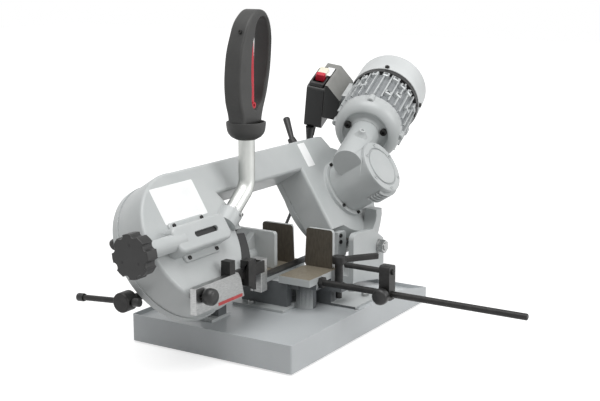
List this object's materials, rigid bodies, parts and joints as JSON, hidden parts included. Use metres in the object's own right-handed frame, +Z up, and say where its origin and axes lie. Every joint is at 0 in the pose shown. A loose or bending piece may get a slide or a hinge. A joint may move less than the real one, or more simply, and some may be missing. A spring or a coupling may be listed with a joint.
{
  "type": "metal cutting band saw",
  "caption": "Bench metal-cutting band saw: swivelling hinged bow with two covered wheels, worm gearbox and motor, trigger handle, screw vice and length stop in a sheet tray.",
  "frame": {"origin": "on the surface the foot pads stand on, under the middle of the tray, at the centre of the four bench bolt holes", "axes": "+X along the blade from the idler wheel to the hinge and motor, +Y along the stock to the back, +Z up"},
  "size_m": [1.0111, 0.8693, 0.6026],
  "materials": {
    "grey_paint": "satin grey enamel",
    "tray_paint": "satin light grey enamel",
    "cast_table": "machined cast iron",
    "black_steel": "blackened steel, satin",
    "bright_steel": "machined steel",
    "chrome_tube": "chromed tube",
    "black_plastic": "moulded, fine texture",
    "red_plastic": "moulded red",
    "white_plastic": "moulded white",
    "motor_aluminium": "die-cast, bare",
    "bronze": "bronze worm wheel",
    "blade_steel": "hardened strip",
    "rubber": "moulded rubber"
  },
  "bodies": {
    "base": {"tray": "tray_paint", "tray_feet": "rubber", "bed": "grey_paint", "bed_bolts": "bright_steel", "fixed_jaw_rear": "cast_table", "fixed_jaw_front": "cast_table", "pivot_pin": "bright_steel", "vice_bracket": "grey_paint", "stop_rod": "black_steel", "lock_post": "black_steel"},
    "moving_jaw": {"moving_jaw": "grey_paint"},
    "vice_spindle": {"vice_spindle": "black_steel"},
    "tee_bar": {"tee_bar": "black_steel", "tee_caps": "black_plastic"},
    "length_stop": {"stop_bracket": "black_steel"},
    "stop_knob": {"stop_knob": "black_plastic"},
    "stop_pin": {"stop_pin": "black_steel"},
    "lock_lever": {"lock_lever": "black_steel"},
    "swivel": {"swivel_arm": "grey_paint", "hinge_pins": "bright_steel", "hinge_nuts": "bright_steel", "mains_coil": "rubber", "mains_plug": "rubber"},
    "head": {"bow": "grey_paint", "wheel_cover": "grey_paint", "cover_knobs": "black_plastic", "gearbox_housing": "grey_paint", "gearbox_cover": "grey_paint", "head_screws": "black_steel", "motor_flange": "motor_aluminium", "motor_body": "motor_aluminium", "fan_cover": "grey_paint", "terminal_box": "black_plastic", "switch_box": "black_plastic", "cord_relief": "rubber", "tension_housing": "grey_paint", "blade": "blade_steel", "right_guide": "bright_steel", "handle_tube": "chrome_tube", "handle_collar": "black_plastic", "grip_front": "black_plastic", "grip_rear": "black_plastic", "control_cable": "rubber", "mains_cord": "rubber"},
    "cover_lever": {"cover_lever": "black_plastic"},
    "on_button": {"on_button": "white_plastic"},
    "off_button": {"off_button": "red_plastic"},
    "trigger": {"trigger": "red_plastic"},
    "tension_carriage": {"tension_carriage": "bright_steel"},
    "idler": {"idler_wheel": "cast_table"},
    "tension_knob": {"tension_knob": "black_plastic"},
    "drive": {"drive_wheel": "cast_table", "worm_wheel": "bronze"},
    "motor_rotor": {"worm_shaft": "bright_steel", "rotor": "bright_steel", "cooling_fan": "black_plastic"},
    "guide_arm": {"guide_bar": "bright_steel", "guide_guard": "black_steel", "left_guide": "bright_steel"},
    "guide_knob": {"guide_knob": "black_plastic"}
  },
  "joints": [
    {"name": "jaw_slide", "type": "slide", "parent": "base", "child": "moving_jaw", "axis": [1, 0, 0], "range_m": [-0.06, 0.044]},
    {"name": "spindle_turn", "type": "hinge", "parent": "base", "child": "vice_spindle", "pos_m": [-0.3, 0.055, 0.135], "axis": [1, 0, 0], "range_deg": [-3605, 2645]},
    {"name": "tee_slide", "type": "slide", "parent": "vice_spindle", "child": "tee_bar", "axis": [0, 0.9968, -0.0802], "range_m": [-0.072, 0]},
    {"name": "stop_slide", "type": "slide", "parent": "base", "child": "length_stop", "axis": [0, 1, 0], "range_m": [-0.25, 0.06]},
    {"name": "stop_knob_turn", "type": "hinge", "parent": "length_stop", "child": "stop_knob", "pos_m": [-0.06, -0.2365, 0.101], "axis": [1, 0, 0], "continuous": true},
    {"name": "stop_pin_slide", "type": "slide", "parent": "length_stop", "child": "stop_pin", "axis": [0, 1, 0], "range_m": [-0.06, 0.03]},
    {"name": "lock_turn", "type": "hinge", "parent": "base", "child": "lock_lever", "pos_m": [0.01, -0.108, 0.13], "axis": [0, 0, 1], "range_deg": [-40, 30]},
    {"name": "mitre_swivel", "type": "hinge", "parent": "base", "child": "swivel", "pos_m": [0.013, -0.02, 0.07], "axis": [0, 0, 1], "range_deg": [0, 45]},
    {"name": "head_raise", "type": "hinge", "parent": "swivel", "child": "head", "pos_m": [0.224, -0.02, 0.113], "axis": [0, 1, 0], "range_deg": [0, 45]},
    {"name": "cover_lever_turn", "type": "hinge", "parent": "head", "child": "cover_lever", "pos_m": [0.205, 0.1164, 0.31187], "axis": [0, 0.5299, 0.848], "range_deg": [-60, 60]},
    {"name": "on_press", "type": "slide", "parent": "head", "child": "on_button", "axis": [0.2763, 0.2547, -0.9267], "range_m": [0, 0.004], "stiffness_N_per_m": 400, "springref_m": -0.002},
    {"name": "off_press", "type": "slide", "parent": "head", "child": "off_button", "axis": [0.2763, 0.2547, -0.9267], "range_m": [0, 0.004], "stiffness_N_per_m": 400, "springref_m": -0.002},
    {"name": "trigger_pull", "type": "hinge", "parent": "head", "child": "trigger", "pos_m": [-0.1205, 0.01, 0.432], "axis": [0, -1, 0], "range_deg": [0, 3], "stiffness_Nm_per_rad": 2, "springref_deg": -2.86},
    {"name": "tension_turn", "type": "hinge", "parent": "head", "child": "tension_knob", "pos_m": [-0.43, -0.01035, 0.23263], "axis": [1, 0, 0], "range_deg": [-1081, 1]},
    {"name": "tension_slide", "type": "slide", "parent": "head", "child": "tension_carriage", "axis": [1, 0, 0], "range_m": [0, 0.006]},
    {"name": "drive_turn", "type": "hinge", "parent": "head", "child": "drive", "pos_m": [0.224, 0.03332, 0.20533], "axis": [0, -0.848, 0.5299], "continuous": true},
    {"name": "idler_turn", "type": "hinge", "parent": "tension_carriage", "child": "idler", "pos_m": [-0.279, 0.03332, 0.20533], "axis": [0, -0.848, 0.5299], "continuous": true},
    {"name": "motor_turn", "type": "hinge", "parent": "head", "child": "motor_rotor", "pos_m": [0.20329, -0.02648, 0.30023], "axis": [0.9205, 0.2071, 0.3314], "continuous": true},
    {"name": "guide_slide", "type": "slide", "parent": "head", "child": "guide_arm", "axis": [1, 0, 0], "range_m": [-0.019, 0.006]},
    {"name": "guide_knob_turn", "type": "hinge", "parent": "head", "child": "guide_knob", "pos_m": [-0.345, -0.06, 0.145], "axis": [0, 1, 0], "continuous": true}
  ],
  "couplings": [
    {"joint": "spindle_turn", "follows": "jaw_slide", "rad_per_m": 1047.2},
    {"joint": "tension_turn", "follows": "tension_slide", "rad_per_m": -3141.6},
    {"joint": "idler_turn", "follows": "drive_turn", "ratio": 1},
    {"joint": "motor_turn", "follows": "drive_turn", "ratio": 40}
  ]
}
